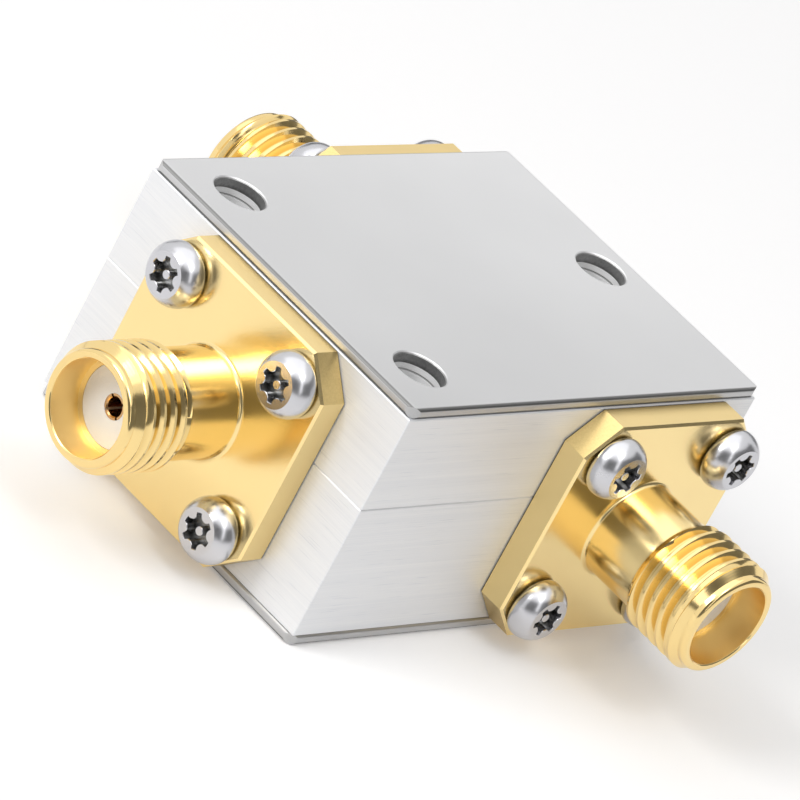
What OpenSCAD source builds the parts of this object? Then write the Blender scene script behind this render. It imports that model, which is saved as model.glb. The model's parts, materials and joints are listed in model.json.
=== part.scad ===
// Three-port coaxial circulator. A split aluminium block sits between two thin steel plates.
// A flanged threaded jack is screwed to its left, front and back faces, and inside it a stack
// of magnets, pole discs and ferrites holds the strip that joins the three contacts.
// Millimetres, +Z up. The origin is the centre of the bottom plate's underside.

/* [Housing] */
// Width of the housing, from the left port's face to the blank face
body_w = 25.7; // [24:0.1:34]
// Depth of the housing, from the front port's face to the back port's face
body_d = 20; // [18.5:0.1:30]
// Height of the lower half
lower_h = 7.5; // [7:0.1:8.6]
// Height of the upper half
upper_h = 5.3; // [4.8:0.1:8]
// Radius of the housing's upright edges
body_corner_r = 0.08; // [0.02:0.02:1]
// Bevel along the edges where the halves and plates meet
edge_bevel = 0.06; // [0.02:0.01:0.2]

/* [Plates] */
// Thickness of the top and bottom plates
plate_t = 0.6; // [0.5:0.05:1.5]
// Radius along the plates' rims
plate_rim_r = 0.22; // [0.05:0.01:0.24]
// Radius of the plates' corners, seen from above
plate_corner_r = 0.6; // [0.25:0.05:2]

/* [Mounting holes] */
// Diameter of the three mounting holes
hole_d = 2.7; // [2:0.1:3.2]
// Distance of the pair of holes from the left face
pair_inset = 3.15; // [2.4:0.05:5]
// Spacing of the pair
pair_spacing = 14; // [13.6:0.1:15]
// Distance of the single hole from the blank face
single_inset = 2.45; // [2:0.05:3]
// Bevel round the holes' two ends
hole_edge = 0.1; // [0.02:0.01:0.25]

/* [Ports] */
// Height of the three ports and the strip above the housing's underside
port_h = 6.4; // [5.6:0.05:7.2]
// Distance of the front and back ports from the blank face
side_port_inset = 7; // [6.5:0.05:8]
// Depth of the insulator's seat in the housing wall
seat_depth = 1.5; // [1:0.1:2]

/* [Jack flange] */
// Side of the square flange
flange_side = 12.7; // [12:0.1:14]
// Thickness of the flange
flange_t = 1.6; // [1.2:0.1:2.5]
// Bevel across the flange's corners
flange_corner = 1.75; // [0.5:0.05:2.2]
// Bevel along the flange's front edges
flange_edge = 0.12; // [0.04:0.01:0.3]
// Bevel along the flange's back edges
flange_back_edge = 0.06; // [0.02:0.01:0.2]
// Spacing of the four flange screws
screw_spacing = 8.64; // [8:0.01:9.2]

/* [Jack barrel] */
// Diameter of the plain neck
neck_d = 5.4; // [5:0.05:5.6]
// Length of the neck, from flange to thread
neck_len = 3.35; // [2:0.05:6]
// Fillet between neck and flange
neck_fillet = 0.22; // [0.05:0.01:0.3]
// Outside diameter of the thread
thread_d = 6.3; // [6.1:0.05:6.5]
// Length of the thread
thread_len = 3.6; // [2.5:0.05:6]
// Diameter of the nose ahead of the thread
nose_d = 5.64; // [5.3:0.02:5.8]
// Length from the thread to the mouth
nose_len = 0.75; // [0.7:0.05:1.5]
// Rounding of the nose's rim
rim_r = 0.24; // [0.05:0.01:0.28]
// Diameter of the mouth
mouth_d = 4.7; // [4.4:0.05:4.8]
// Depth of the mouth
mouth_depth = 1.9; // [1:0.05:2.5]
// Bevel at the mouth's inner edge
lip_bevel = 0.06; // [0.02:0.01:0.1]

/* [Insulator and contact] */
// Diameter of the insulator
insulator_d = 4.1; // [3.6:0.05:4.2]
// Diameter of the contact
contact_d = 1.27; // [1.1:0.01:1.4]
// Diameter of the contact's socket
socket_d = 0.94; // [0.8:0.01:0.98]
// Depth of the socket
socket_depth = 2.6; // [2:0.1:4]
// Width of the slots between the socket's fingers
finger_slot_w = 0.12; // [0.05:0.01:0.15]
// Length of the slots between the socket's fingers
finger_slot_len = 2.2; // [1:0.1:2.5]
// Bevel at the socket's mouth
socket_bevel = 0.06; // [0.02:0.01:0.08]
// Length of the contact's tail behind the insulator
tail_len = 1.6; // [1.2:0.1:2]
// Depth of the slot that takes the strip
tail_slot_len = 1.2; // [0.8:0.1:1.2]

/* [Flange screws] */
// Diameter of the screws
screw_d = 2; // [1.6:0.1:2.2]
// Length of the screws under the head
screw_len = 5; // [3.5:0.1:5.4]
// Diameter of the head at its widest
head_d = 3.3; // [3.1:0.1:3.8]
// Height of the head
head_h = 1.33; // [1:0.01:2]
// Height of the head's widest line above its foot
head_belt = 0.38; // [0.2:0.02:0.5]
// Diameter of the head's foot
head_foot_d = 2.9; // [2.6:0.05:3]
// Diameter of the head's flat top
head_top_d = 2.3; // [2.1:0.05:2.6]
// Diameter over the recess's lobes
recess_d = 1.78; // [1.5:0.02:2]
// Diameter between the recess's flanks
recess_flank_d = 1.24; // [1.1:0.02:1.4]
// Radius of the recess's flanks
flank_r = 0.31; // [0.25:0.01:0.4]
// Depth of the recess
recess_depth = 0.55; // [0.4:0.05:0.9]
// Diameter of the drilled point at the recess's bottom
point_d = 0.9; // [0.6:0.02:1.06]
// Depth of the drilled point
point_depth = 0.2; // [0.1:0.05:0.4]

/* [Junction] */
// Distance of the junction's axis from the blank face
junction_inset = 10.35; // [9.8:0.05:11]
// Diameter of the magnets and pole discs
stack_d = 10; // [9:0.1:10.4]
// Thickness of the pole discs
pole_t = 1.3; // [0.8:0.1:2]
// Diameter of the ferrite discs
ferrite_d = 6.8; // [6:0.1:8]
// Thickness of the ferrite discs and the rings round them
ferrite_t = 1.6; // [1.2:0.1:2]
// Thickness of the strip
strip_t = 0.2; // [0.1:0.02:0.3]
// Diameter of the strip's centre disc
disc_d = 5.2; // [4:0.1:6]
// Width of the strip's arms between the rings
arm_w = 1.6; // [1:0.1:2.2]
// Width of the strip's lines in the channels
line_w = 2.2; // [1.6:0.1:2.6]
// Width of the tab that enters a contact
tab_w = 0.9; // [0.6:0.05:1]
// Length of the straight line behind each tab
lead_len = 0.8; // [0.5:0.1:1.2]
// Width of the channels round the lines
channel_w = 3.9; // [3:0.1:4]

/* [Clearances] */
// Gap round the stack in its bore
stack_gap = 0.05; // [0.02:0.01:0.1]
// Gap between ferrite and ring
ring_gap = 0.03; // [0.01:0.01:0.1]
// Gap round the insulator
insulator_gap = 0.02; // [0.01:0.01:0.03]
// Gap round the contact in its insulator
contact_gap = 0.01; // [0.005:0.005:0.03]
// Gap on each side of the strip in a contact's slot
slot_gap = 0.02; // [0.01:0.01:0.05]
// Gap round the screws in the flange
flange_hole_gap = 0.12; // [0.05:0.01:0.2]
// Gap round the screws in the housing
tapped_gap = 0.02; // [0.01:0.01:0.05]
// Room past the screws' tips
tip_room = 0.4; // [0.2:0.1:0.8]

/* [Hidden] */
$fn = 96;
// Overlap of cutting shapes past the faces that they open
cut = 1;

body_h = lower_h + upper_h;
total_h = body_h + 2 * plate_t;
left_x = -body_w / 2;
blank_x = body_w / 2;
port_z = plate_t + port_h;
split_z = plate_t + lower_h;
side_port_x = blank_x - side_port_inset;
junction_x = blank_x - junction_inset;
holes = [
    [left_x + pair_inset, -pair_spacing / 2],
    [left_x + pair_inset, pair_spacing / 2],
    [blank_x - single_inset, 0]
];
PORTS = ["left", "front", "back"];

// Stations along a jack, measured out from the housing's face
thread_start = flange_t + neck_len;
thread_end = thread_start + thread_len;
mouth_s = thread_end + nose_len;
face_s = mouth_s - mouth_depth;
tail_s = -seat_depth - tail_len;
bore_r = insulator_d / 2 + insulator_gap;

// Levels of the stack, measured from the strip's middle
ferrite_s = strip_t / 2;
pole_s = ferrite_s + ferrite_t;
magnet_s = pole_s + pole_t;
stack_bore_r = stack_d / 2 + stack_gap;

// Plain shapes

module rounded_rect(w, d, r) {
    square([w - 2 * r, d], center = true);
    square([w, d - 2 * r], center = true);
    for (x = [-1, 1], y = [-1, 1])
        translate([x * (w / 2 - r), y * (d / 2 - r)])
            circle(r);
}

module bevelled_rect(w, d, c) {
    x = w / 2;
    y = d / 2;
    polygon([
        [x - c, -y], [x, c - y], [x, y - c], [x - c, y],
        [c - x, y], [-x, y - c], [-x, c - y], [c - x, -y]
    ]);
}

// Bar of width w from point p to point q
module bar(p, q, w) {
    run = q - p;
    translate(p)
        rotate(atan2(run[1], run[0]))
            translate([0, -w / 2])
                square([norm(run), w]);
}

// Places a shape drawn along +Z so that +Z points out of a port
module at_port(port) {
    if (port == "left")
        translate([left_x, 0, port_z])
            rotate([0, -90, 0])
                children();
    if (port == "front")
        translate([side_port_x, -body_d / 2, port_z])
            rotate([90, 0, 0])
                children();
    if (port == "back")
        translate([side_port_x, body_d / 2, port_z])
            rotate([-90, 0, 0])
                children();
}

module at_flange_screws() {
    for (i = [0:3])
        rotate(45 + 90 * i)
            translate([screw_spacing / sqrt(2), 0, 0])
                children();
}

// Through holes with a bevel at both ends
module mounting_holes() {
    for (hole = holes)
        translate([hole[0], hole[1], 0]) {
            translate([0, 0, -cut])
                cylinder(d = hole_d, h = total_h + 2 * cut);
            cylinder(d1 = hole_d + 2 * hole_edge, d2 = hole_d, h = hole_edge);
            translate([0, 0, total_h - hole_edge])
                cylinder(d1 = hole_d, d2 = hole_d + 2 * hole_edge, h = hole_edge);
        }
}

// Plates and housing

module plate(z) {
    difference() {
        translate([0, 0, z])
            intersection() {
                linear_extrude(plate_t)
                    rounded_rect(body_w, body_d, plate_corner_r);
                translate([0, body_d / 2, plate_t / 2])
                    rotate([90, 0, 0])
                        linear_extrude(body_d)
                            rounded_rect(body_w, plate_t, plate_rim_r);
                translate([-body_w / 2, 0, plate_t / 2])
                    rotate([90, 0, 90])
                        linear_extrude(body_w)
                            rounded_rect(body_d, plate_t, plate_rim_r);
            }
        mounting_holes();
    }
}

// Half of the outer block, bevelled along its upper and lower edges
module half_block(z, h) {
    translate([0, 0, z])
        intersection() {
            linear_extrude(h)
                rounded_rect(body_w, body_d, body_corner_r);
            translate([0, body_d / 2, h / 2])
                rotate([90, 0, 0])
                    linear_extrude(body_d)
                        bevelled_rect(body_w, h, edge_bevel);
            translate([-body_w / 2, 0, h / 2])
                rotate([90, 0, 90])
                    linear_extrude(body_w)
                        bevelled_rect(body_d, h, edge_bevel);
        }
}

// Point in front of a side port where its line turns towards the junction
function bend(side) = [side_port_x, side * (body_d / 2 + tail_s - lead_len)];
function tab_root(side) = [side_port_x, side * (body_d / 2 + tail_s)];
junction = [junction_x, 0];
left_tab_root = [left_x - tail_s, 0];
left_bend = left_tab_root + [lead_len, 0];

// Plan of the three channels, from the junction out to the insulators' seats
module channel_plan() {
    bar(junction, [left_x + seat_depth, 0], channel_w);
    for (side = [-1, 1]) {
        bar(junction, bend(side), channel_w);
        bar(bend(side), [side_port_x, side * (body_d / 2 - seat_depth)], channel_w);
        translate(bend(side))
            circle(d = channel_w);
    }
}

// Everything that is cut out of the housing's two halves
module housing_cavity() {
    mounting_holes();
    translate([junction_x, 0, 0])
        cylinder(r = stack_bore_r, h = total_h);
    translate([0, 0, port_z - pole_s])
        linear_extrude(2 * pole_s)
            channel_plan();
    for (port = PORTS)
        at_port(port) {
            translate([0, 0, -seat_depth])
                cylinder(r = bore_r, h = seat_depth + cut);
            at_flange_screws()
                translate([0, 0, flange_t - screw_len - tip_room])
                    cylinder(d = screw_d + 2 * tapped_gap, h = screw_len + tip_room);
        }
}

module bottom_plate() {
    color("silver")
        plate(0);
}

module lower_housing() {
    color("gainsboro")
        difference() {
            half_block(plate_t, lower_h);
            housing_cavity();
        }
}

module upper_housing() {
    color("gainsboro")
        difference() {
            half_block(split_z, upper_h);
            housing_cavity();
        }
}

module top_plate() {
    color("silver")
        plate(plate_t + body_h);
}

// Magnet and ferrite stack. Each disc lies on one side of the strip: up is 1, down is -1.

module stack_disc(up, from, to, d) {
    translate([junction_x, 0, port_z + (up > 0 ? from : -to)])
        cylinder(d = d, h = to - from);
}

module magnet(up) {
    reach = up > 0 ? body_h - port_h : port_h;
    color("dimgray")
        stack_disc(up, magnet_s, reach, stack_d);
}

module pole_disc(up) {
    color("lightsteelblue")
        stack_disc(up, pole_s, magnet_s, stack_d);
}

module ferrite_disc(up) {
    color("darkslategray")
        stack_disc(up, ferrite_s, pole_s, ferrite_d);
}

module spacer_ring(up) {
    color("ivory")
        difference() {
            stack_disc(up, ferrite_s, pole_s, stack_d);
            stack_disc(up, ferrite_s - cut, pole_s + cut, ferrite_d + 2 * ring_gap);
        }
}

module lower_magnet() {
    magnet(-1);
}

module upper_magnet() {
    magnet(1);
}

module lower_pole_disc() {
    pole_disc(-1);
}

module upper_pole_disc() {
    pole_disc(1);
}

module lower_ferrite_disc() {
    ferrite_disc(-1);
}

module upper_ferrite_disc() {
    ferrite_disc(1);
}

module lower_spacer_ring() {
    spacer_ring(-1);
}

module upper_spacer_ring() {
    spacer_ring(1);
}

// Strip: a disc with three arms, each ending in a tab that enters its contact's slot

// One arm from the junction to its bend, wider outside the stack
module strip_arm(bend_point) {
    run = bend_point - junction;
    stack_edge = junction + run * (stack_d / 2 / norm(run));
    bar(junction, bend_point, arm_w);
    bar(stack_edge, bend_point, line_w);
    translate(bend_point)
        circle(d = line_w);
}

module strip_plan() {
    tab_reach = tail_slot_len - slot_gap;
    translate(junction)
        circle(d = disc_d);
    strip_arm(left_bend);
    bar(left_bend, left_tab_root, line_w);
    bar(left_tab_root, left_tab_root - [tab_reach, 0], tab_w);
    for (side = [-1, 1]) {
        strip_arm(bend(side));
        bar(bend(side), tab_root(side), line_w);
        bar(tab_root(side), tab_root(side) + [0, side * tab_reach], tab_w);
    }
}

module centre_strip() {
    color("peru")
        translate([0, 0, port_z - strip_t / 2])
            linear_extrude(strip_t)
                strip_plan();
}

// Jacks

// Half section of the barrel: neck with its fillet, thread, nose and rounded rim
module barrel_section() {
    neck_r = neck_d / 2;
    thread_r = thread_d / 2;
    nose_r = nose_d / 2;
    translate([0, flange_t / 2])
        square([neck_r, flange_t / 2 + neck_len]);
    translate([neck_r, flange_t])
        difference() {
            square(neck_fillet);
            translate([neck_fillet, neck_fillet])
                circle(neck_fillet);
        }
    polygon([
        [0, thread_start],
        [neck_r, thread_start],
        [thread_r, thread_start + thread_r - neck_r],
        [thread_r, thread_end],
        [nose_r, thread_end + thread_r - nose_r],
        [nose_r, mouth_s - rim_r],
        [0, mouth_s - rim_r]
    ]);
    translate([0, mouth_s - 2 * rim_r])
        square([nose_r - rim_r, 2 * rim_r]);
    translate([nose_r - rim_r, mouth_s - rim_r])
        circle(rim_r);
}

// Half section of the stepped bore: insulator bore, shoulder, mouth and bevelled lip
module bore_section() {
    mouth_r = mouth_d / 2;
    polygon([
        [0, -cut],
        [bore_r, -cut],
        [bore_r, face_s],
        [mouth_r, face_s],
        [mouth_r, mouth_s - lip_bevel],
        [mouth_r + lip_bevel, mouth_s],
        [mouth_r + lip_bevel, mouth_s + cut],
        [0, mouth_s + cut]
    ]);
}

// Bars that bevel the flange's eight edges at one level
module flange_bevels(z, bevel) {
    side_dist = flange_side / 2;
    corner_dist = (flange_side - flange_corner) / sqrt(2);
    bar_w = bevel * sqrt(2);
    for (i = [0:7])
        rotate(45 * i)
            translate([i % 2 == 0 ? side_dist : corner_dist, 0, z])
                rotate([0, 45, 0])
                    cube([bar_w, flange_side, bar_w], center = true);
}

// Square flange with bevelled corners and fine bevels along its front and back edges
module flange() {
    difference() {
        linear_extrude(flange_t)
            bevelled_rect(flange_side, flange_side, flange_corner);
        flange_bevels(flange_t, flange_edge);
        flange_bevels(0, flange_back_edge);
    }
}

module jack_body(port) {
    color("gold")
        at_port(port)
            difference() {
                union() {
                    flange();
                    rotate_extrude()
                        barrel_section();
                }
                rotate_extrude()
                    bore_section();
                at_flange_screws()
                    translate([0, 0, -cut])
                        cylinder(d = screw_d + 2 * flange_hole_gap, h = flange_t + 2 * cut);
            }
}

module insulator(port) {
    color("white")
        at_port(port)
            difference() {
                translate([0, 0, -seat_depth])
                    cylinder(d = insulator_d, h = seat_depth + face_s);
                translate([0, 0, -seat_depth - cut])
                    cylinder(d = contact_d + 2 * contact_gap, h = seat_depth + face_s + 2 * cut);
            }
}

// Contact: slotted spring socket at the mouth, slotted tail at the strip
module contact(port) {
    color("goldenrod")
        at_port(port)
            difference() {
                translate([0, 0, tail_s])
                    cylinder(d = contact_d, h = face_s - tail_s);
                translate([0, 0, face_s - socket_depth])
                    cylinder(d = socket_d, h = socket_depth + cut);
                translate([0, 0, face_s - socket_bevel])
                    cylinder(d1 = socket_d, d2 = socket_d + 2 * socket_bevel, h = socket_bevel);
                for (turn = [45, 135])
                    rotate(turn)
                        translate([-contact_d, -finger_slot_w / 2, face_s - finger_slot_len])
                            cube([2 * contact_d, finger_slot_w, finger_slot_len + cut]);
                tail_slot(port);
            }
}

// Slot across the contact's tail, level with the strip
module tail_slot(port) {
    slot_w = strip_t + 2 * slot_gap;
    rotate(port == "left" ? 90 : 0)
        translate([-contact_d, -slot_w / 2, tail_s - cut])
            cube([2 * contact_d, slot_w, tail_slot_len + cut]);
}

// Flange screws

// Radius of the arc that leaves the head's widest line upright and ends w further in and h away
function belt_arc_r(w, h) = (w * w + h * h) / (2 * w);

// Half section of the head: rounded under and over its widest line, up to the flat top
module head_section() {
    head_r = head_d / 2;
    shoulder_r = belt_arc_r((head_d - head_top_d) / 2, head_h - head_belt);
    foot_r = belt_arc_r((head_d - head_foot_d) / 2, head_belt);
    square([head_top_d / 2, head_h]);
    intersection() {
        translate([0, head_belt])
            square([head_r, head_h - head_belt]);
        translate([head_r - shoulder_r, head_belt])
            circle(shoulder_r);
    }
    square([head_foot_d / 2, head_belt]);
    intersection() {
        square([head_r, head_belt]);
        translate([head_r - foot_r, head_belt])
            circle(foot_r);
    }
}

// Six-lobe recess: a disc with six round flanks taken out of it
module recess_plan() {
    difference() {
        circle(d = recess_d);
        for (i = [0:5])
            rotate(60 * i)
                translate([recess_flank_d / 2 + flank_r, 0])
                    circle(flank_r);
    }
}

module screw() {
    difference() {
        union() {
            rotate_extrude()
                head_section();
            translate([0, 0, -screw_len])
                cylinder(d = screw_d, h = screw_len + head_belt);
        }
        translate([0, 0, head_h - recess_depth])
            linear_extrude(recess_depth + cut)
                recess_plan();
        translate([0, 0, head_h - recess_depth - point_depth])
            cylinder(d1 = 0, d2 = point_d, h = point_depth);
    }
}

module flange_screws(port) {
    color("lightgray")
        at_port(port)
            at_flange_screws()
                translate([0, 0, flange_t])
                    screw();
}

module left_jack_body() {
    jack_body("left");
}

module front_jack_body() {
    jack_body("front");
}

module back_jack_body() {
    jack_body("back");
}

module left_insulator() {
    insulator("left");
}

module front_insulator() {
    insulator("front");
}

module back_insulator() {
    insulator("back");
}

module left_contact() {
    contact("left");
}

module front_contact() {
    contact("front");
}

module back_contact() {
    contact("back");
}

module left_flange_screws() {
    flange_screws("left");
}

module front_flange_screws() {
    flange_screws("front");
}

module back_flange_screws() {
    flange_screws("back");
}

bottom_plate();
lower_housing();
upper_housing();
top_plate();
lower_magnet();
upper_magnet();
lower_pole_disc();
upper_pole_disc();
lower_ferrite_disc();
upper_ferrite_disc();
lower_spacer_ring();
upper_spacer_ring();
centre_strip();
left_jack_body();
front_jack_body();
back_jack_body();
left_insulator();
front_insulator();
back_insulator();
left_contact();
front_contact();
back_contact();
left_flange_screws();
front_flange_screws();
back_flange_screws();
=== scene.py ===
"""Finishes, threaded jacks, screws and stage for a three-port coaxial circulator."""
import json
import math

import bmesh
import bpy
from bpy.props import FloatProperty, FloatVectorProperty, PointerProperty
from mathutils import Matrix, Vector


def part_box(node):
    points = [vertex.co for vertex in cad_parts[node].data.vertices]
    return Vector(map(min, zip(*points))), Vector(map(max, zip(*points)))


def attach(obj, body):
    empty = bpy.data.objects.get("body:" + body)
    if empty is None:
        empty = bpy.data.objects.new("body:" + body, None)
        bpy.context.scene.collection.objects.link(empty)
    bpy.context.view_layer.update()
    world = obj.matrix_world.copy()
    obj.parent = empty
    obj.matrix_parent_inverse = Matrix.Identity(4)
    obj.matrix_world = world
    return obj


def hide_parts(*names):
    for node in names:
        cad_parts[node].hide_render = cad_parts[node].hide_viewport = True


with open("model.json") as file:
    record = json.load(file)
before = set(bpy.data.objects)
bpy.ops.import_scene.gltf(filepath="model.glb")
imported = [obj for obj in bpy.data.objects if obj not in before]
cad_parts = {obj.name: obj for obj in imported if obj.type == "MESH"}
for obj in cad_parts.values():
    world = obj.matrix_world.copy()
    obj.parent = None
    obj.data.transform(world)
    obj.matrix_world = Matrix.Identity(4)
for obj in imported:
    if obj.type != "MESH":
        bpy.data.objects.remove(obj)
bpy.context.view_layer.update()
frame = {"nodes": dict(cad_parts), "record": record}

bl_info = {
    "name": "Coaxial circulator",
    "version": (1, 0, 0),
    "blender": (4, 5, 0),
    "location": "3D View > Sidebar > Circulator",
    "description": "Finishes, threaded jacks, screws and stage for a coaxial circulator",
    "category": "Object",
}

MM = 0.001
PORTS = ("left", "front", "back")
HOLES = ("front_left_hole", "back_left_hole", "right_hole")
HOLE_PITCH = 0.45 * MM
HOLE_GROOVE_DROP = 0.36 * MM
MOUNTS = {mount["name"]: mount for mount in frame["record"]["mounts"]}


class Port:
    """Where a jack stands: its seat on the housing, its outward axis and its stations along that axis."""

    def __init__(self, name):
        self.name = name
        mouth = MOUNTS[f"{name}_port_mouth"]
        thread = MOUNTS[f"{name}_port_thread"]
        self.out = Vector(mouth["axis"])
        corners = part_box(f"{name}_jack_body")
        ends = sorted(corner.dot(self.out) for corner in corners)
        self.reach = ends[1] - ends[0]
        centre = Vector(mouth["pos_m"])
        self.seat = centre + self.out * (ends[0] - centre.dot(self.out))
        self.shoulder = self.station(mouth) - mouth["dims"]["length_mm"] * MM / 2
        half_thread = thread["dims"]["length_mm"] * MM / 2
        self.thread_full = self.station(thread) - half_thread
        self.thread_end = self.station(thread) + half_thread

    def station(self, mount):
        """Distance of a mount from the seat, along the port's axis."""
        return (Vector(mount["pos_m"]) - self.seat).dot(self.out)

    def matrix(self):
        """Places a piece drawn along +Z so that +Z points out of the port and +Y points up."""
        up = Vector((0, 0, 1))
        turn = Matrix((up.cross(self.out), up, self.out)).transposed()
        return Matrix.Translation(self.seat) @ turn.to_4x4()


def flange_side():
    """Side of the square flange, across its jack's box."""
    low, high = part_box("left_jack_body")
    return (high - low).y / MM


def length(name, description, millimetres):
    """A length property, with its default in millimetres."""
    return FloatProperty(
        name=name,
        description=description,
        default=millimetres * MM,
        min=0.0,
        precision=5,
        subtype="DISTANCE",
        unit="LENGTH",
    )


def angle(name, description, degrees):
    """An angle property, with its default in degrees."""
    return FloatProperty(
        name=name,
        description=description,
        default=math.radians(degrees),
        subtype="ANGLE",
        unit="ROTATION",
    )


def amount(name, description, value):
    """A plain number from nothing up."""
    return FloatProperty(name=name, description=description, default=value, min=0.0)


def colour(name, description, red, green, blue):
    """A colour property, with its default in linear light."""
    return FloatVectorProperty(
        name=name,
        description=description,
        default=(red, green, blue),
        min=0.0,
        max=1.0,
        size=3,
        subtype="COLOR",
    )


class JackSizes(bpy.types.PropertyGroup):
    """Sizes of the flanged threaded jacks"""

    flange_side: length("Flange side", "Side of the square flange", flange_side())
    flange_thickness: length("Flange thickness", "Thickness of the flange", 1.6)
    flange_corner: length("Flange corner", "Bevel across the flange's corners", 1.75)
    flange_edge: length("Flange edge", "Bevel along the flange's front edges", 0.12)
    flange_back_edge: length("Flange back edge", "Bevel along the flange's back edges", 0.06)
    screw_spacing: length("Screw spacing", "Spacing of the flange screws", 8.64)
    hole_radius: length("Hole radius", "Radius of the screw holes in the flange", 1.12)
    neck_radius: length("Neck radius", "Radius of the plain neck", 2.7)
    neck_fillet: length("Neck fillet", "Fillet between neck and flange", 0.22)
    thread_radius: length(
        "Thread radius", "Radius over the thread's crests", MOUNTS["left_port_thread"]["dims"]["r_mm"]
    )
    thread_pitch: length("Thread pitch", "Distance from crest to crest, 36 to the inch", 25.4 / 36)
    thread_depth: length("Thread depth", "Depth of the thread's grooves", 0.36)
    thread_runout: length("Thread run-out", "Length over which the last groove fades", 0.45)
    nose_radius: length("Nose radius", "Radius of the nose ahead of the thread", 2.82)
    rim_radius: length("Rim radius", "Rounding of the nose's rim", 0.24)
    mouth_radius: length(
        "Mouth radius", "Radius of the open mouth", MOUNTS["left_port_mouth"]["dims"]["r_mm"]
    )
    lip_bevel: length("Lip bevel", "Bevel at the mouth's inner edge", 0.06)
    bore_radius: length("Bore radius", "Radius of the bore round the insulator", 2.07)


class ScrewSizes(bpy.types.PropertyGroup):
    """Sizes of the flange screws"""

    shank_radius: length("Shank radius", "Radius of the shank", 1.0)
    shank_length: length("Shank length", "Length under the head", 5.0)
    head_radius: length("Head radius", "Radius of the head at its widest", 1.65)
    head_height: length("Head height", "Height of the head", 1.33)
    belt_height: length("Belt height", "Height of the head's widest line", 0.38)
    foot_radius: length("Foot radius", "Radius of the head's foot", 1.45)
    flat_radius: length("Flat radius", "Radius of the head's flat top", 1.15)
    recess_radius: length("Recess radius", "Radius over the recess's lobes", 0.89)
    flank_distance: length("Flank distance", "Distance of the recess's flanks from its centre", 0.62)
    flank_radius: length("Flank radius", "Radius of the recess's flanks", 0.31)
    recess_depth: length("Recess depth", "Depth of the recess", 0.55)
    recess_edge: length("Recess edge", "Bevel round the recess", 0.03)
    pin_radius: length("Pin radius", "Radius of the pin in the recess", 0.24)
    pin_drop: length("Pin drop", "Depth of the pin's end under the head's top", 0.17)


class Colours(bpy.types.PropertyGroup):
    """Colours of the finishes"""

    plate: colour("Plate", "Satin steel of the two plates", 0.77, 0.77, 0.775)
    aluminium: colour("Aluminium", "Brushed aluminium of the housing", 0.905, 0.925, 0.97)
    gold: colour("Gold", "Gold plating of the jacks", 0.95, 0.74, 0.355)
    steel: colour("Steel", "Bright steel of the screws", 0.60, 0.60, 0.625)
    insulator: colour("Insulator", "White plastic round the contacts", 0.98, 0.99, 1.0)
    # Painted shade: the contacts' gold is darkened to brown, as they sit in shade inside the jacks
    contact: colour("Contact", "Gold plating of the contacts", 0.60, 0.36, 0.17)
    magnet: colour("Magnet", "Ground magnet", 0.16, 0.16, 0.17)
    pole: colour("Pole disc", "Turned steel", 0.45, 0.45, 0.47)
    ferrite: colour("Ferrite", "Ground ferrite", 0.03, 0.03, 0.035)
    dielectric: colour("Dielectric", "Fired ceramic", 0.80, 0.76, 0.68)
    strip: colour("Strip", "Bright sheet", 0.75, 0.48, 0.25)
    floor: colour("Floor", "Pale floor under the part", 0.93, 0.93, 0.93)
    floor_glow: colour("Floor glow", "Lift of the floor's shadows", 0.22, 0.215, 0.215)
    screen: colour("Screen", "Dark screens that the metal mirrors", 0.38, 0.38, 0.38)


class Studio(bpy.types.PropertyGroup):
    """Camera and light"""

    azimuth: angle("Azimuth", "Camera's direction round the part", -55.78)
    elevation: angle("Elevation", "Camera's height over the horizon", 25.16)
    roll: angle("Roll", "Turn of the camera about its own axis", 28.43)
    distance: length("Distance", "Camera's distance from the point that it looks at", 338.5)
    aim: FloatVectorProperty(
        name="Aim",
        description="Point that the camera looks at",
        default=(-0.07 * MM, -0.27 * MM, 6.56 * MM),
        size=3,
        subtype="TRANSLATION",
        unit="LENGTH",
    )
    lens: FloatProperty(
        name="Lens",
        description="Focal length in millimetres",
        default=311.9,
        min=1.0,
        subtype="DISTANCE_CAMERA",
    )
    softbox: amount("Softbox", "Brightness of the overhead softbox", 0.62)
    key: amount("Key", "Brightness of the key lamp at the left", 8.5)
    fill: amount("Fill", "Brightness of the small lamp over the front", 4.5)
    strip: amount("Strip", "Brightness of the tall lamp in front", 1.7)
    room: amount("Room", "Light that the white walls throw on the part", 0.36)


class Socket:
    """A node's output that takes part in Python expressions on values."""

    def __init__(self, graph, socket):
        self.graph = graph
        self.socket = socket

    def __getitem__(self, name):
        """Another output of the same node."""
        return Socket(self.graph, self.socket.node.outputs[name])

    def __add__(self, other):
        return self.graph.maths("ADD", self, other)

    def __radd__(self, other):
        return self.graph.maths("ADD", other, self)

    def __sub__(self, other):
        return self.graph.maths("SUBTRACT", self, other)

    def __rsub__(self, other):
        return self.graph.maths("SUBTRACT", other, self)

    def __mul__(self, other):
        return self.graph.maths("MULTIPLY", self, other)

    def __rmul__(self, other):
        return self.graph.maths("MULTIPLY", other, self)


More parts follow.
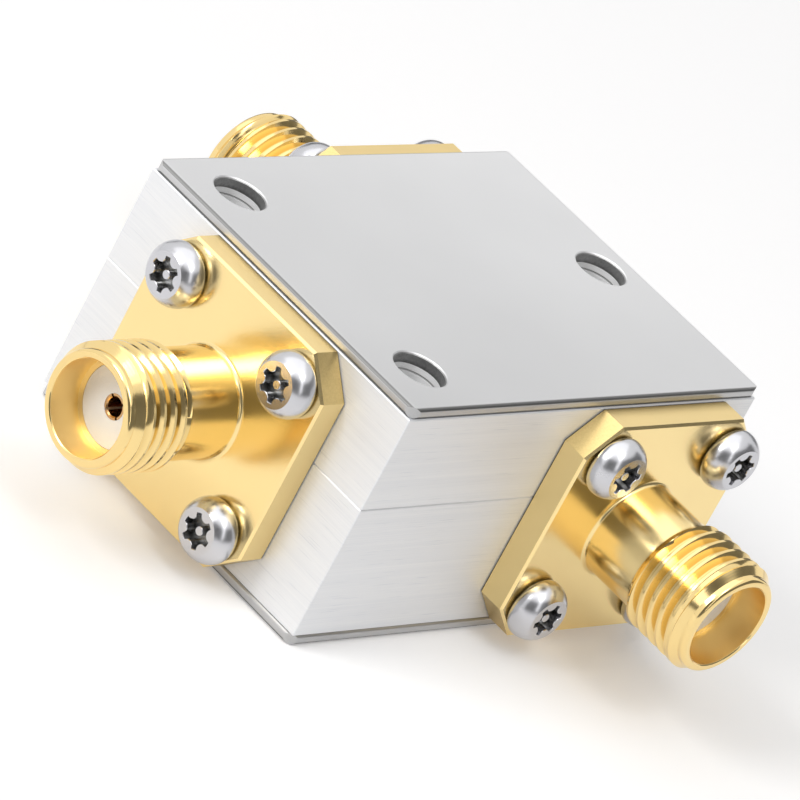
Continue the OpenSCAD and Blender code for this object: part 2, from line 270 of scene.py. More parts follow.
class Graph:
    """The node tree of a material or world, filled from expressions."""

    def __init__(self, owner):
        owner.use_nodes = True
        self.tree = owner.node_tree
        self.tree.nodes.clear()

    def node(self, kind, settings=None, inputs=None):
        """Adds a node, makes its settings, then feeds its sockets, and returns its first output."""
        node = self.tree.nodes.new(kind)
        for name, value in (settings or {}).items():
            setattr(node, name, value)
        for name, value in (inputs or {}).items():
            self.feed(self.find(node, name), value)
        outputs = [output for output in node.outputs if output.enabled]
        return Socket(self, outputs[0]) if outputs else None

    @staticmethod
    def find(node, name):
        """A node's input by number, or the first one in use with that name."""
        if isinstance(name, int):
            return node.inputs[name]
        return next(socket for socket in node.inputs if socket.enabled and socket.name == name)

    def feed(self, socket, value):
        """Links a socket, or sets its constant."""
        if isinstance(value, Socket):
            self.tree.links.new(value.socket, socket)
        else:
            socket.default_value = value

    def maths(self, operation, first, second):
        """A Math node on two values."""
        return self.node("ShaderNodeMath", {"operation": operation}, {0: first, 1: second})

    def vector(self, operation, first, second):
        """A Vector Math node on two vectors."""
        return self.node("ShaderNodeVectorMath", {"operation": operation}, {0: first, 1: second})

    def place(self):
        """Position on the piece, in its own frame."""
        return self.node("ShaderNodeTexCoord")["Object"]

    def noise(self, place, scale, detail=2.0):
        """Noise from 0 to 1, with its own scale along each axis, in turns for each metre."""
        stretched = self.vector("MULTIPLY", place, scale)
        return self.node(
            "ShaderNodeTexNoise", {}, {"Vector": stretched, "Scale": 1.0, "Detail": detail}
        )

    def even_noise(self, place, scale, detail=2.0):
        """Noise from 0 to 1 with one scale all round."""
        return self.noise(place, (scale, scale, scale), detail)

    def step(self, value, low, high):
        """Rises smoothly from 0 at low to 1 at high."""
        return self.node(
            "ShaderNodeMapRange",
            {"interpolation_type": "SMOOTHSTEP"},
            {"Value": value, "From Min": low, "From Max": high},
        )

    def blend(self, share, first, second):
        """Mixes two colours."""
        return self.node(
            "ShaderNodeMix", {"data_type": "RGBA"}, {"Factor": share, "A": first, "B": second}
        )

    def shade(self, base, share, spread):
        """A colour that runs from darker to lighter than its base as the share goes from 0 to 1."""
        darker = [channel * (1 - spread) for channel in base]
        lighter = [min(1.0, channel * (1 + spread)) for channel in base]
        return self.blend(share, (*darker, 1.0), (*lighter, 1.0))

    def parts(self, vector):
        """A node whose outputs X, Y and Z are the parts of a vector."""
        return self.node("ShaderNodeSeparateXYZ", {}, {"Vector": vector})

    def folded(self, place):
        """A place with the signs of its parts dropped, so that mirrored spots coincide."""
        return self.node("ShaderNodeVectorMath", {"operation": "ABSOLUTE"}, {0: place})

    def along(self, place, direction):
        """Distance of a place along a direction."""
        return self.vector("DOT_PRODUCT", place, direction)["Value"]

    def bump(self, height, depth):
        """A normal bent by a height."""
        return self.node("ShaderNodeBump", {}, {"Strength": 1.0, "Distance": depth, "Height": height})

    def axis_distance(self, place, origin, axis):
        """Distance of a place from a line."""
        arm = self.vector("SUBTRACT", place, origin)
        across = self.vector("CROSS_PRODUCT", arm, axis)
        return self.node("ShaderNodeVectorMath", {"operation": "LENGTH"}, {0: across})["Value"]

    def shown(self):
        """1 for the rays that show the background: straight, mirrored or through glass."""
        light = self.node("ShaderNodeLightPath")
        straight = self.maths("MAXIMUM", light["Is Camera Ray"], light["Is Transmission Ray"])
        return self.maths("MAXIMUM", straight, light["Is Glossy Ray"])

    def principled(self, inputs):
        """The surface of a material."""
        shader = self.node("ShaderNodeBsdfPrincipled", {}, inputs)
        self.node("ShaderNodeOutputMaterial", {}, {"Surface": shader})


def grey(level):
    """A grey for a colour socket."""
    return (level, level, level, 1.0)


# Tones that the finishes run to, in linear light. Each paints light or shade into a finish, as noted
# above it
# Painted shade on the plates' rims, sides and hole walls
SHEET_SHADE = (0.08, 0.08, 0.075, 1.0)
# Painted light: near white on the tapped holes' walls, which get little light
HOLE_PAINTED_LIGHT = grey(0.97)
# Painted shade in the grooves of the tapped holes
HOLE_GROOVE_SHADE = grey(0.2)
# Painted shade: a darker copy of the plating for the thread and nose
THREAD_SHADE_GOLD = (0.84, 0.60, 0.24, 1.0)
# Painted shade in the jacks' thread grooves
GROOVE_SHADE_GOLD = (0.55, 0.36, 0.10, 1.0)
# Painted shade: a darker, more saturated amber for the mouth's wall
MOUTH_SHADE_GOLD = (1.0, 0.71, 0.26, 1.0)
# Painted highlight: a pale gold for the ledge inside the mouth
LEDGE_HIGHLIGHT_GOLD = (1.0, 0.88, 0.58, 1.0)
# Painted shade on the flange's upright and corner facets
FACET_SHADE_GOLD = (0.40, 0.28, 0.09, 1.0)
# Painted shadow in the groove between the flange's back edge and the housing
SEAM_SHADOW = (0.02, 0.015, 0.01, 1.0)
# Painted shade in the screws' recesses and under their heads
RECESS_SHADE = (0.09, 0.09, 0.075, 1.0)

# Direction in which the plates' painted sheen rises, and its rise for each metre: painted light, as if
# from a near lamp
PAINTED_SHEEN_DIRECTION = (0.6, 0.8, 0.0)
PAINTED_SHEEN_RISE = 26.0

# Rate of the insulators' turning rings, in radians for each metre
RING_RATE = 60000.0


def new_finish(name):
    """An empty material and its graph."""
    material = bpy.data.materials.new(name)
    return material, Graph(material)


def bored(graph, place, margin):
    """Full within a margin round the through holes."""
    share = 0.0
    for name in HOLES:
        hole = MOUNTS[name]
        wall = hole["dims"]["r_mm"] * MM + margin
        distance = graph.axis_distance(place, hole["pos_m"], hole["axis"])
        share = share + (1 - graph.step(distance, wall, wall + 0.02 * MM))
    return share


def slanted(graph, facing):
    """Full where a surface slants up, for a facing that is 1 on a level top and 0 on a wall."""
    return graph.step(facing, 0.25, 0.45) * (1 - graph.step(facing, 0.9, 0.99))


def rolled_sheet(tint):
    """Satin rolled sheet: fine grain under slow clouds and a painted sheen, with painted shade at its
    rolled rims, on its sides and in its holes.
    """
    material, graph = new_finish("satin_rolled_sheet")
    place = graph.place()
    height = graph.parts(place)["Z"]
    grain = graph.even_noise(place, 9000)
    cloud = graph.even_noise(place, 90)
    # Painted sheen: the plates lighten steadily along one direction, mottled by slow clouds
    sheen = 0.5 + PAINTED_SHEEN_RISE * graph.along(place, PAINTED_SHEEN_DIRECTION) + 0.4 * (cloud - 0.5)
    facing = graph.parts(graph.node("ShaderNodeNewGeometry")["Normal"])["Z"]
    low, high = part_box("top_plate")
    middle = high.z / 2
    upper = graph.step(height, middle - 2 * MM, middle + 2 * MM)
    hole = bored(graph, place, 0.13 * MM)
    # Painted shade: rims that slant up are darker, more so on the top plate, rims that slant down darker
    # still, and the upright sides a little darker
    rim = (0.3 + 0.5 * upper) * slanted(graph, facing) + 0.8 * slanted(graph, -1 * facing)
    level = graph.maths("ABSOLUTE", facing, 0.0)
    side = 1 - graph.step(level, 0.2, 0.4)
    flat = graph.step(level, 0.9, 0.99) * (1 - hole)
    depth = 1 - graph.step(height, low.z, low.z + 0.25 * MM)
    lip = 0.045 * MM
    wall = graph.step(height, lip, 1.3 * lip) * (1 - graph.step(height, high.z - 1.3 * lip, high.z - lip))
    # Painted shade on the hole walls, darker towards the bottom plate's underside
    bore = wall * (0.62 + 0.2 * depth + 0.3 * (grain - 0.5))
    # Share of painted shade from rims, sides and hole walls
    dark = (1 - hole) * (rim + 0.25 * side) + hole * bore
    graph.principled({
        "Base Color": graph.blend(dark, graph.shade(tint, sheen, 0.17), SHEET_SHADE),
        "Metallic": 1 - 0.65 * flat,
        "Roughness": 0.38 + 0.06 * grain + 0.05 * cloud + 0.06 * side,
        "Normal": graph.bump(grain, 0.004 * MM),
    })
    return material


def level_brushing(tint):
    """Aluminium brushed along the housing's faces, with a few deeper strokes and tapped holes, whose
    walls are painted near white as painted light, with painted shade in their thread's grooves.
    """
    material, graph = new_finish("brushed_aluminium")
    place = graph.place()
    fine = graph.noise(place, (80, 80, 14000), 3.0)
    broad = graph.noise(place, (40, 40, 1800))
    stroke = graph.step(graph.noise(place, (420, 420, 15000), 1.0), 0.64, 0.76)
    lines = 0.6 * fine + 0.4 * broad - 0.5 * stroke
    tapped = bored(graph, place, 0.01 * MM)
    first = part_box("top_plate")[0].z - HOLE_GROOVE_DROP
    turns = 2 * math.pi / HOLE_PITCH * (graph.parts(place)["Z"] - first)
    groove = graph.step(graph.node("ShaderNodeMath", {"operation": "COSINE"}, {0: turns}), 0.6, 1.0)
    # Painted shade in the tapped holes' thread grooves; the same mask also cuts the grooves into the
    # relief
    cut = tapped * groove
    # Painted light: the tapped holes' walls run to near white
    bare = graph.blend(tapped, graph.shade(tint, lines, 0.12), HOLE_PAINTED_LIGHT)
    graph.principled({
        "Base Color": graph.blend(0.6 * cut, bare, HOLE_GROOVE_SHADE),
        "Metallic": 0.4 * (1 - tapped),
        "Roughness": 0.36 + 0.18 * lines,
        "Normal": graph.bump(lines * (1 - tapped) - 8.0 * cut, 0.006 * MM),
    })
    return material


def plated_jack(tint, sizes, port):
    """Gold plating: clean flange, bright neck and thread, turned nose and satin mouth. Painted shade
    darkens the thread and nose, the thread's grooves, the mouth's wall, the flange's facets and its back
    seam, and a painted highlight lightens the mouth's ledge.
    """
    material, graph = new_finish("gold_plated_jack")
    place = graph.place()
    station = graph.parts(place)["Z"]
    radius = graph.axis_distance(place, (0, 0, 0), (0, 0, 1))
    grain = graph.even_noise(place, 11000)
    cloud = graph.even_noise(place, 400)
    turning = graph.noise(place, (300, 300, 9000), 1.0)
    rings = graph.noise(place, (200, 200, 24000), 1.0)

    # Zones of the jack, each from 0 to 1
    face = sizes.flange_thickness
    barrel = graph.step(station, face + 0.02 * MM, face + 0.1 * MM)
    neck = barrel * (1 - graph.step(station, port.thread_full - 0.6 * MM, port.thread_full - 0.4 * MM))
    nose = graph.step(station, port.thread_end, port.thread_end + 0.1 * MM)
    wall = sizes.mouth_radius
    mouth = 1 - graph.step(radius, wall + 0.01 * MM, wall + 0.04 * MM)
    ledge = mouth * (1 - graph.step(station, port.shoulder + 0.01 * MM, port.shoulder + 0.03 * MM))
    tilt = graph.parts(graph.folded(graph.node("ShaderNodeTexCoord")["Normal"]))
    milled = (1 - graph.step(tilt["Z"], 0.3, 0.5)) * (1 - barrel) * (1 - mouth)
    corner = milled * graph.step(graph.maths("MINIMUM", tilt["X"], tilt["Y"]), 0.5, 0.6)
    rise = graph.parts(graph.node("ShaderNodeNewGeometry")["Normal"])["Z"]
    upright = milled * (1 - graph.step(rise, 0.5, 0.8))
    seam = sizes.flange_back_edge
    # Painted shadow along the flange's back seam, against the housing
    seam_shadow_share = (1 - graph.step(station, seam, 1.5 * seam)) * (1 - mouth)
    turned = (barrel - neck) * (1 - mouth)
    crest = graph.step(radius, sizes.thread_radius - 0.3 * MM, sizes.thread_radius)
    # Painted shade in the thread's grooves, below its crests
    valley_shade = turned * (1 - nose) * (1 - crest)

    # Tone, roughness and relief of each zone; the tones add painted shade and a painted highlight
    # Painted shade: the thread and nose take a darker gold
    plated = graph.blend(0.4 * turned, graph.shade(tint, cloud, 0.03), THREAD_SHADE_GOLD)
    # Painted shade darkens the thread's grooves
    plated = graph.blend(0.3 * valley_shade, plated, GROOVE_SHADE_GOLD)
    # Painted shade: the mouth's wall runs to a darker, more saturated amber
    plated = graph.blend(0.5 * (mouth - ledge), plated, MOUTH_SHADE_GOLD)
    # Painted highlight: the ledge inside the mouth runs to a pale gold
    plated = graph.blend(0.6 * ledge, plated, LEDGE_HIGHLIGHT_GOLD)
    # Painted shade: the flange's upright facets a little darker, its corner facets much darker and
    # mottled by grain
    facet_shade = 0.16 * upright + (0.3 + 0.3 * grain) * corner
    plated = graph.blend(facet_shade, plated, FACET_SHADE_GOLD)
    satin = 0.04 * grain + 0.03 * cloud + 0.1 * ledge + 0.24 * mouth
    satin = satin + 0.2 * milled + 0.07 * neck - 0.05 * barrel
    relief = grain * (1 - barrel) * (1 - mouth) + 0.7 * turning * nose + 2.0 * rings * mouth
    graph.principled({
        # Painted shadow along the flange's back seam
        "Base Color": graph.blend(0.85 * seam_shadow_share, plated, SEAM_SHADOW),
        "Metallic": 1.0,
        "Roughness": 0.15 + satin,
        "Normal": graph.bump(relief, 0.002 * MM),
    })
    return material


def plated_contact(tint):
    """Gold plating of the contacts, in a tint darkened to brown as painted shade inside the jacks."""
    material, graph = new_finish("gold_plated_contact")
    grain = graph.even_noise(graph.place(), 14000)
    graph.principled({
        "Base Color": graph.shade(tint, grain, 0.06),
        "Metallic": 1.0,
        "Roughness": 0.2 + 0.08 * grain,
        "Normal": graph.bump(grain, 0.002 * MM),
    })
    return material


def turned_plastic(tint, port):
    """White plastic with faint turning rings round its port's axis."""
    material, graph = new_finish(f"{port.name}_turned_plastic")
    place = graph.place()
    radius = graph.axis_distance(place, port.seat, port.out)
    rings = graph.node("ShaderNodeMath", {"operation": "SINE"}, {0: radius * RING_RATE})
    cloud = graph.even_noise(place, 700)
    graph.principled({
        "Base Color": graph.shade(tint, cloud, 0.03),
        "Roughness": 0.42 + 0.1 * cloud,
        "Normal": graph.bump(rings, 0.001 * MM),
    })
    return material


def formed_steel(tint, jack, sizes):
    """Bright steel with a formed head's faintly uneven skin, with painted shade in its recess and under
    the head.
    """
    material, graph = new_finish("bright_formed_steel")
    place = graph.place()
    swell = graph.even_noise(place, 800)
    grain = graph.even_noise(place, 12000)
    half = jack.screw_spacing / 2
    radius = graph.axis_distance(graph.folded(place), (half, half, 0.0), (0, 0, 1))
    height = graph.parts(place)["Z"]
    foot = jack.flange_thickness
    floor = foot + sizes.head_height - sizes.recess_depth
    rim = sizes.recess_radius
    inside = 1 - graph.step(radius, rim, rim + 0.02 * MM)
    # Painted shade on the recess's floor and lower walls
    recess_shade_share = inside * (1 - graph.step(height, floor + 0.02 * MM, floor + 0.3 * MM))
    # Painted shade just above the head's foot, under its belt
    under = 1 - graph.step(height, foot + 0.04 * MM, foot + 0.16 * MM)
    dark = graph.maths("MAXIMUM", 0.8 * recess_shade_share, 0.85 * under)
    graph.principled({
        "Base Color": graph.blend(dark, graph.shade(tint, swell, 0.06), RECESS_SHADE),
        "Metallic": 1.0,
        "Roughness": 0.22 + 0.02 * grain + 0.06 * swell,
        "Normal": graph.bump(swell, 0.012 * MM),
    })
    return material


def ground_finish(name, tint, metallic, roughness):
    """Plain ground or fired surface of an inner piece."""
    material, graph = new_finish(name)
    grain = graph.even_noise(graph.place(), 5000, 3.0)
    graph.principled({
        "Base Color": graph.shade(tint, grain, 0.1),
        "Metallic": metallic,
        "Roughness": roughness + 0.1 * grain,
        "Normal": graph.bump(grain, 0.004 * MM),
    })
    return material


def dress(node, material):
    """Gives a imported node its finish."""
    frame["nodes"][node].material_slots[0].material = material


# Corners of a mesh that bend by more than this, in degrees, are shaded sharp
SHARP_BEND = 28


class Builder:
    """Rings of points, lofted and filled into one closed mesh."""

    def __init__(self):
        self.bm = bmesh.new()
        self.borders = []

    def loop(self, points, height):
        """Points of a closed outline at one height."""
        return [self.bm.verts.new((x, y, height)) for x, y in points]

    def ring(self, radius, height, count, centre=(0.0, 0.0), turn=0.0):
        """A ring of points, whose radius is a number or a function of the angle."""
        points = []
        for index in range(count):
            bearing = 2 * math.pi * index / count
            reach = radius(bearing) if callable(radius) else radius
            x = centre[0] + reach * math.cos(bearing + turn)
            y = centre[1] + reach * math.sin(bearing + turn)
            points.append((x, y))
        return self.loop(points, height)

    def loft(self, *loops):
        """Faces between loops that follow each other."""
        for first, second in zip(loops, loops[1:]):
            for index, point in enumerate(first):
                after = (index + 1) % len(first)
                self.bm.faces.new((point, first[after], second[after], second[index]))

    def fan(self, loop, x, y, height):
        """Closes a loop to a point."""
        tip = self.bm.verts.new((x, y, height))
        for point, after in zip(loop, loop[1:] + loop[:1]):
            self.bm.faces.new((point, after, tip))

    def fill(self, *loops):
        """A flat face between closed loops, with sharp borders so that it is shaded flat."""
        edges = []
        for loop in loops:
            for ends in zip(loop, loop[1:] + loop[:1]):
                edges.append(self.bm.edges.get(ends) or self.bm.edges.new(ends))
        self.borders += edges
        bmesh.ops.triangle_fill(self.bm, use_beauty=True, edges=edges)

    def build(self, name, matrix, material):
        """The finished piece."""
        bmesh.ops.recalc_face_normals(self.bm, faces=self.bm.faces[:])
        self.bm.edges.index_update()
        sharp = [edge.index for edge in self.borders]
        mesh = bpy.data.meshes.new(name)
        self.bm.to_mesh(mesh)
        self.bm.free()
        mesh.shade_smooth()
        mesh.set_sharp_from_angle(angle=math.radians(SHARP_BEND))
        for index in sharp:
            mesh.edges[index].use_edge_sharp = True
        mesh.materials.append(material)
        piece = bpy.data.objects.new(name, mesh)
        piece.matrix_world = matrix
        bpy.context.scene.collection.objects.link(piece)
        return piece


FILLET_STEPS = 8
BELT_STEPS = 12


def arc(centre_radius, centre_height, radius, start, end, steps):
    """Points along an arc, as of a half section, with angles in degrees from the outward direction."""
    points = []
    for index in range(steps + 1):
        bearing = math.radians(start + (end - start) * index / steps)
        across = centre_radius + radius * math.cos(bearing)
        points.append((across, centre_height + radius * math.sin(bearing)))
    return points


def belt_arc(belt_radius, belt_height, end_radius, end_height):
    """Arc of a half section that leaves the belt upright and bends in to its end."""
    width = belt_radius - end_radius
    height = end_height - belt_height
    radius = (width ** 2 + height ** 2) / (2 * width)
    sweep = math.degrees(math.asin(height / radius))
    return arc(belt_radius - radius, belt_height, radius, 0, sweep, BELT_STEPS)


def bevelled_square(side, corner, inset):
    """Outline of a square with bevelled corners, drawn in by an inset all round."""
    half = side / 2 - inset
    near = half - (corner - inset * (2 - math.sqrt(2)))
    return [
        (half, -near), (half, near), (near, half), (-near, half),
        (-half, near), (-half, -near), (-near, -half), (near, -half),
    ]


def square_pattern(spacing):
    """Four places at the corners of a square."""
    half = spacing / 2
    return [(half, half), (-half, half), (-half, -half), (half, -half)]


# Thread form along one pitch: share of the pitch and share of the depth
THREAD_FORM = (
    (0.0, 0.10), (0.03, 0.0), (0.24, 0.0), (0.27, 0.10),
    (0.54, 0.90), (0.57, 1.0), (0.70, 1.0), (0.73, 0.90),
)
BARREL_POINTS = 160
HOLE_POINTS = 48
SCREW_POINTS = 144
RECESS_LOBES = 6


def cut_thread(builder, sizes, first, last, start, end):
    """Helical thread between two rings. Rows follow the helix and stop against the rings."""
    count = len(first)
    rows_per_turn = len(THREAD_FORM)
    lead_in = start - 2 * sizes.thread_pitch
    turns = math.ceil((end - lead_in) / sizes.thread_pitch)
    made = {}

    def point(row, index):
        if index == count:
            return point(row + rows_per_turn, 0)
        turn, place = divmod(row, rows_per_turn)
        share, depth = THREAD_FORM[place]
        station = lead_in + sizes.thread_pitch * (turn + share + index / count)
        if station <= start:
            return first[index]
        if station >= end:
            return last[index]
        if (row, index) not in made:
            fade = min(1.0, (end - station) / sizes.thread_runout)
            groove = sizes.thread_radius - sizes.thread_depth * depth * fade
            radius = min(groove, sizes.neck_radius + station - start)
            bearing = 2 * math.pi * index / count
            corner = (radius * math.cos(bearing), radius * math.sin(bearing), station)
            made[row, index] = builder.bm.verts.new(corner)
        return made[row, index]

    for row in range(turns * rows_per_turn):
        for index in range(count):
            corners = (
                point(row, index), point(row, index + 1),
                point(row + 1, index + 1), point(row + 1, index),
            )
            distinct = list(dict.fromkeys(corners))
            if len(distinct) > 2:
                builder.bm.faces.new(distinct)


def jack_piece(port, sizes, material):
    """One jack: bevelled flange with its holes, neck, thread, nose and stepped bore."""
    builder = Builder()
    face = sizes.flange_thickness
    neck = sizes.neck_radius
    fillet = sizes.neck_fillet
    thread_start = port.thread_full - (sizes.thread_radius - neck)
    nose_start = port.thread_end + sizes.thread_radius - sizes.nose_radius

    neck_section = arc(neck + fillet, face + fillet, fillet, -90, -180, FILLET_STEPS)
    neck_section += [(neck, thread_start)]
    rim = sizes.rim_radius
    mouth = sizes.mouth_radius
    nose_section = [(sizes.thread_radius, port.thread_end), (sizes.nose_radius, nose_start)]
    nose_section += arc(sizes.nose_radius - rim, port.reach - rim, rim, 0, 90, FILLET_STEPS)
    nose_section += [
        (mouth + sizes.lip_bevel, port.reach), (mouth, port.reach - sizes.lip_bevel),
        (mouth, port.shoulder), (sizes.bore_radius, port.shoulder), (sizes.bore_radius, 0.0),
    ]
    neck_rings = [builder.ring(radius, station, BARREL_POINTS) for radius, station in neck_section]
    nose_rings = [builder.ring(radius, station, BARREL_POINTS) for radius, station in nose_section]
    builder.loft(*neck_rings)
    builder.loft(*nose_rings)
    cut_thread(builder, sizes, neck_rings[-1], nose_rings[0], thread_start, port.thread_end)

    flange_section = [
        (sizes.flange_back_edge, 0.0), (0.0, sizes.flange_back_edge),
        (0.0, face - sizes.flange_edge), (sizes.flange_edge, face),
    ]
    edges = []
    for inset, station in flange_section:
        outline = bevelled_square(sizes.flange_side, sizes.flange_corner, inset)
        edges.append(builder.loop(outline, station))
    builder.loft(*edges)
    back_holes = []
    front_holes = []
    for centre in square_pattern(sizes.screw_spacing):
        back_holes.append(builder.ring(sizes.hole_radius, 0.0, HOLE_POINTS, centre))
        front_holes.append(builder.ring(sizes.hole_radius, face, HOLE_POINTS, centre))
        builder.loft(back_holes[-1], front_holes[-1])
    builder.fill(edges[-1], neck_rings[0], *front_holes)
    builder.fill(edges[0], nose_rings[-1], *back_holes)
    return builder.build(f"{port.name}_threaded_jack", port.matrix(), material)


def add_screw(builder, sizes, centre, base, turn):
    """One screw: shank, domed head and six-lobe recess round a pin."""
    flank_centre = sizes.flank_distance + sizes.flank_radius
    lobe = 2 * math.pi / RECESS_LOBES

    def recess(bearing):
        off = (bearing + lobe / 2) % lobe - lobe / 2
        across = flank_centre * math.sin(off)
        if abs(across) >= sizes.flank_radius:
            return sizes.recess_radius
        flank = flank_centre * math.cos(off) - math.sqrt(sizes.flank_radius ** 2 - across ** 2)
        return min(sizes.recess_radius, flank)

    def recess_rim(bearing):
        return recess(bearing) + edge

    top = sizes.head_height
    edge = sizes.recess_edge
    floor = top - sizes.recess_depth
    pin = top - sizes.pin_drop
    section = [
        (sizes.shank_radius, -sizes.shank_length), (sizes.shank_radius, 0.0),
        *belt_arc(sizes.head_radius, sizes.belt_height, sizes.foot_radius, 0.0)[:0:-1],
        *belt_arc(sizes.head_radius, sizes.belt_height, sizes.flat_radius, top),
        (recess_rim, top), (recess, top - edge), (recess, floor),
        (sizes.pin_radius, floor), (sizes.pin_radius, pin - edge), (sizes.pin_radius - edge, pin),
    ]
    rings = [builder.ring(radius, base + z, SCREW_POINTS, centre, turn) for radius, z in section]
    builder.loft(*rings)
    builder.fan(rings[0], *centre, base - sizes.shank_length)
    builder.fan(rings[-1], *centre, base + pin)


# Turn of each screw as it was tightened, in degrees, in the order of square_pattern
SCREW_TURNS = {
    "left": (14, 14, 31, 22),
    "front": (49, 36, 46, 8),
    "back": (40, 17, 55, 28),
}


def screws_piece(port, jack, sizes, material):
    """The four screws of one flange."""
    builder = Builder()
    for centre, turn in zip(square_pattern(jack.screw_spacing), SCREW_TURNS[port.name]):
        add_screw(builder, sizes, centre, jack.flange_thickness, math.radians(turn))
    return builder.build(f"{port.name}_screws", port.matrix(), material)


def seat_piece(piece, node):
    """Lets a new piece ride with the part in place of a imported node."""
    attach(piece, "root")
    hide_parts(node)


# Half the floor's side, its drop under the part, and the distance of the screens, in metres
FLOOR_HALF = 3.0
FLOOR_DROP = 0.02 * MM
SCREEN_REACH = 0.75

SCREEN_STEPS = 32

# First and last bearing of each screen in degrees, and its height in metres
SCREENS = {
    "front_screen": (-172, -18, 0.62),
    "back_screen": (0, 70, 0.27),
}

# Place, width and height of each lamp in metres
LAMPS = {
    "softbox": ((-0.08, 0.06, 0.42), 0.55, 0.55),
    "key": ((-0.405, 0.14, 0.36), 0.20, 0.20),
    "fill": ((-0.11, -0.26, 0.47), 0.16, 0.16),
    "strip": ((-0.215, -0.505, 0.30), 0.11, 0.50),
}


class CIRCULATOR_OT_stage(bpy.types.Operator):
    """Set up the floor, walls, screens, lamps and camera"""

    bl_idname = "circulator.stage"
    bl_label = "Stage"

    def execute(self, context):
        studio = context.scene.circulator_studio
        colours = context.scene.circulator_colours
        context.scene.view_settings.view_transform = "Standard"
        self.lay_floor(colours)
        self.paint_walls(context.scene, studio)
        for name, (first, last, height) in SCREENS.items():
            self.stand_screen(name, first, last, height, colours.screen)
        for name, (location, width, height) in LAMPS.items():
            self.hang_lamp(context.scene, name, location, width, height, getattr(studio, name))
        self.place_camera(context.scene, studio)
        return {"FINISHED"}

    @staticmethod
    def lay_floor(colours):
        """A wide pale floor just under the part."""
        builder = Builder()
        builder.fill(builder.loop(square_pattern(2 * FLOOR_HALF), 0.0))
        material, graph = new_finish("pale_floor")
        matt = graph.node("ShaderNodeBsdfDiffuse", {}, {"Color": (*colours.floor, 1.0)})
        glow = graph.node("ShaderNodeEmission", {}, {"Color": (*colours.floor_glow, 1.0)})
        lifted = graph.node("ShaderNodeAddShader", {}, {0: matt, 1: glow})
        surface = graph.node("ShaderNodeMixShader", {}, {"Fac": graph.shown(), 1: matt, 2: lifted})
        graph.node("ShaderNodeOutputMaterial", {}, {"Surface": surface})
        floor = builder.build("floor", Matrix.Translation((0, 0, -FLOOR_DROP)), material)

    @staticmethod
    def paint_walls(scene, studio):
        """White walls all round, which throw less light than they show."""
        scene.world = bpy.data.worlds.new("studio")
        graph = Graph(scene.world)
        dim = graph.node("ShaderNodeBackground", {}, {"Color": grey(studio.room)})
        white = graph.node("ShaderNodeBackground", {}, {"Color": grey(1.0)})
        surface = graph.node("ShaderNodeMixShader", {}, {"Fac": graph.shown(), 1: dim, 2: white})
        graph.node("ShaderNodeOutputWorld", {}, {"Surface": surface})

    @staticmethod
    def stand_screen(name, first, last, height, tint):
        """A dark curved screen that the metal mirrors, far outside the picture."""
        builder = Builder()
        outline = arc(0.0, 0.0, SCREEN_REACH, first, last, SCREEN_STEPS)
        bottom = builder.loop(outline, 0.0)
        top = builder.loop(outline, height)
        for index in range(SCREEN_STEPS):
            builder.bm.faces.new((bottom[index], bottom[index + 1], top[index + 1], top[index]))
        material, graph = new_finish(name)
        matt = graph.node("ShaderNodeBsdfDiffuse", {}, {"Color": (*tint, 1.0)})
        graph.node("ShaderNodeOutputMaterial", {}, {"Surface": matt})
        screen = builder.build(name, Matrix(), material)
        screen.visible_camera = False

    @staticmethod
    def hang_lamp(scene, name, location, width, height, brightness):
        """A soft lamp that faces the part."""
        lamp = bpy.data.lights.new(name, "AREA")
        lamp.shape = "RECTANGLE"
        lamp.size = width
        lamp.size_y = height
        lamp.energy = brightness * math.pi * width * height
        hung = bpy.data.objects.new(name, lamp)
        hung.visible_camera = False
        hung.location = location
        hung.rotation_euler = (-Vector(location)).to_track_quat("-Z", "Y").to_euler()
        scene.collection.objects.link(hung)

    @staticmethod
    def place_camera(scene, studio):
        """The camera, rolled about its own axis."""
        flat = math.cos(studio.elevation)
        back = Vector((
            math.sin(studio.azimuth) * flat, -math.cos(studio.azimuth) * flat, math.sin(studio.elevation)
        ))
        right = Vector((0, 0, 1)).cross(back).normalized()
        level = Matrix((right, back.cross(right), back)).transposed()
        rolled = level @ Matrix.Rotation(studio.roll, 3, "Z")
        data = bpy.data.cameras.new("camera")
        data.lens = studio.lens
        data.sensor_width = 36.0
        data.clip_start = 0.01
        data.clip_end = 20.0
        camera = bpy.data.objects.new("camera", data)
        stand = Matrix.Translation(Vector(studio.aim) + back * studio.distance)
        camera.matrix_world = stand @ rolled.to_4x4()
        scene.collection.objects.link(camera)
        scene.camera = camera


class CIRCULATOR_OT_plates(bpy.types.Operator):
    """Finish the top and bottom plates"""

    bl_idname = "circulator.plates"
    bl_label = "Plates"

    def execute(self, context):
        sheet = rolled_sheet(context.scene.circulator_colours.plate)
        for node in ("top_plate", "bottom_plate"):
            dress(node, sheet)
        return {"FINISHED"}


class CIRCULATOR_OT_housing(bpy.types.Operator):
    """Finish the two halves of the housing"""

    bl_idname = "circulator.housing"
    bl_label = "Housing"

    def execute(self, context):
        brushed = level_brushing(context.scene.circulator_colours.aluminium)
        for node in ("lower_housing", "upper_housing"):
            dress(node, brushed)
        return {"FINISHED"}


class CIRCULATOR_OT_jacks(bpy.types.Operator):
    """Build the three threaded jacks"""

    bl_idname = "circulator.jacks"
    bl_label = "Jacks"

    def execute(self, context):
        sizes = context.scene.circulator_jack
        # The ports share their stations, so one finish serves all three
        gold = plated_jack(context.scene.circulator_colours.gold, sizes, Port(PORTS[0]))
        for name in PORTS:
            piece = jack_piece(Port(name), sizes, gold)
            seat_piece(piece, f"{name}_jack_body")
        return {"FINISHED"}


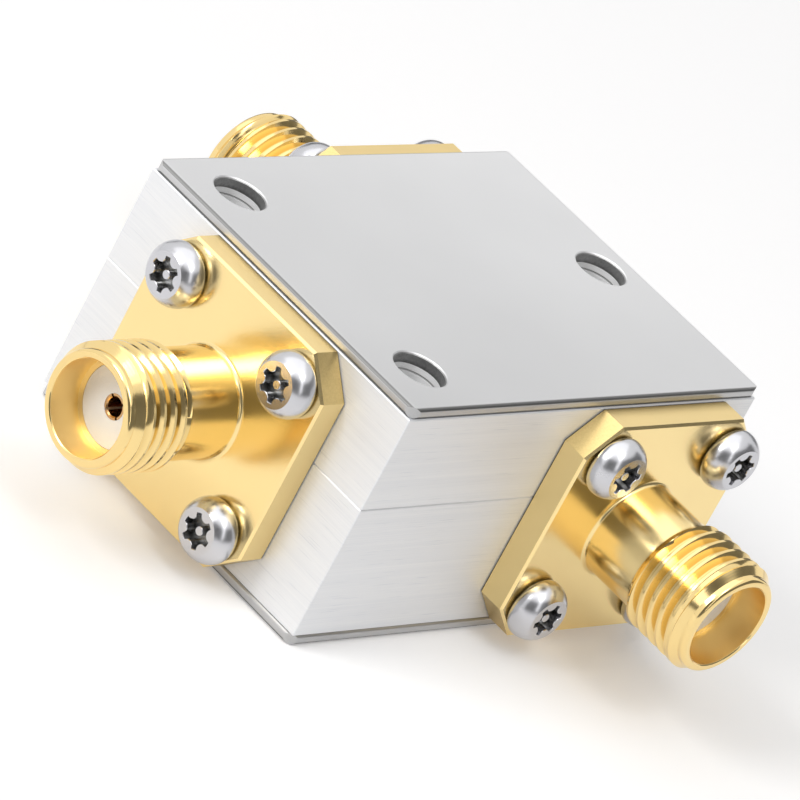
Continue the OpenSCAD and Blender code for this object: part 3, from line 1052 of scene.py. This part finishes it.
class CIRCULATOR_OT_insulators(bpy.types.Operator):
    """Finish the insulators"""

    bl_idname = "circulator.insulators"
    bl_label = "Insulators"

    def execute(self, context):
        tint = context.scene.circulator_colours.insulator
        for name in PORTS:
            dress(f"{name}_insulator", turned_plastic(tint, Port(name)))
        return {"FINISHED"}


class CIRCULATOR_OT_contacts(bpy.types.Operator):
    """Finish the contacts"""

    bl_idname = "circulator.contacts"
    bl_label = "Contacts"

    def execute(self, context):
        gold = plated_contact(context.scene.circulator_colours.contact)
        for name in PORTS:
            dress(f"{name}_contact", gold)
        return {"FINISHED"}


class CIRCULATOR_OT_screws(bpy.types.Operator):
    """Build the flange screws"""

    bl_idname = "circulator.screws"
    bl_label = "Screws"

    def execute(self, context):
        jack = context.scene.circulator_jack
        sizes = context.scene.circulator_screw
        steel = formed_steel(context.scene.circulator_colours.steel, jack, sizes)
        for name in PORTS:
            piece = screws_piece(Port(name), jack, sizes, steel)
            seat_piece(piece, f"{name}_flange_screws")
        return {"FINISHED"}


class CIRCULATOR_OT_junction(bpy.types.Operator):
    """Finish the magnets, discs, rings and strip inside the housing"""

    bl_idname = "circulator.junction"
    bl_label = "Junction"

    def execute(self, context):
        colours = context.scene.circulator_colours
        stacks = {
            "magnet": ground_finish("ground_magnet", colours.magnet, 1.0, 0.4),
            "pole_disc": ground_finish("turned_pole_steel", colours.pole, 1.0, 0.3),
            "ferrite_disc": ground_finish("ground_ferrite", colours.ferrite, 0.0, 0.35),
            "spacer_ring": ground_finish("fired_ceramic", colours.dielectric, 0.0, 0.6),
        }
        for piece, material in stacks.items():
            dress(f"lower_{piece}", material)
            dress(f"upper_{piece}", material)
        dress("centre_strip", ground_finish("bright_strip", colours.strip, 1.0, 0.2))
        return {"FINISHED"}


OPERATORS = (
    CIRCULATOR_OT_stage,
    CIRCULATOR_OT_plates,
    CIRCULATOR_OT_housing,
    CIRCULATOR_OT_jacks,
    CIRCULATOR_OT_insulators,
    CIRCULATOR_OT_contacts,
    CIRCULATOR_OT_screws,
    CIRCULATOR_OT_junction,
)

SETTINGS = {
    "circulator_jack": JackSizes,
    "circulator_screw": ScrewSizes,
    "circulator_colours": Colours,
    "circulator_studio": Studio,
}


class CIRCULATOR_PT_sidebar(bpy.types.Panel):
    """Steps and settings of the circulator"""

    bl_idname = "CIRCULATOR_PT_sidebar"
    bl_label = "Circulator"
    bl_space_type = "VIEW_3D"
    bl_region_type = "UI"
    bl_category = "Circulator"

    def draw(self, context):
        for operator in OPERATORS:
            self.layout.operator(operator.bl_idname)
        for name, group in SETTINGS.items():
            box = self.layout.box()
            for setting in group.__annotations__:
                box.prop(getattr(context.scene, name), setting)


def register():
    for group in SETTINGS.values():
        bpy.utils.register_class(group)
    for operator in OPERATORS:
        bpy.utils.register_class(operator)
    bpy.utils.register_class(CIRCULATOR_PT_sidebar)
    for name, group in SETTINGS.items():
        setattr(bpy.types.Scene, name, PointerProperty(type=group))


def unregister():
    for name in SETTINGS:
        delattr(bpy.types.Scene, name)
    bpy.utils.unregister_class(CIRCULATOR_PT_sidebar)
    for operator in reversed(OPERATORS):
        bpy.utils.unregister_class(operator)
    for group in reversed(SETTINGS.values()):
        bpy.utils.unregister_class(group)


def main():
    register()
    bpy.ops.circulator.stage()
    bpy.ops.circulator.plates()
    bpy.ops.circulator.housing()
    bpy.ops.circulator.jacks()
    bpy.ops.circulator.insulators()
    bpy.ops.circulator.contacts()
    bpy.ops.circulator.screws()
    bpy.ops.circulator.junction()


if __name__ == "__main__":
    main()
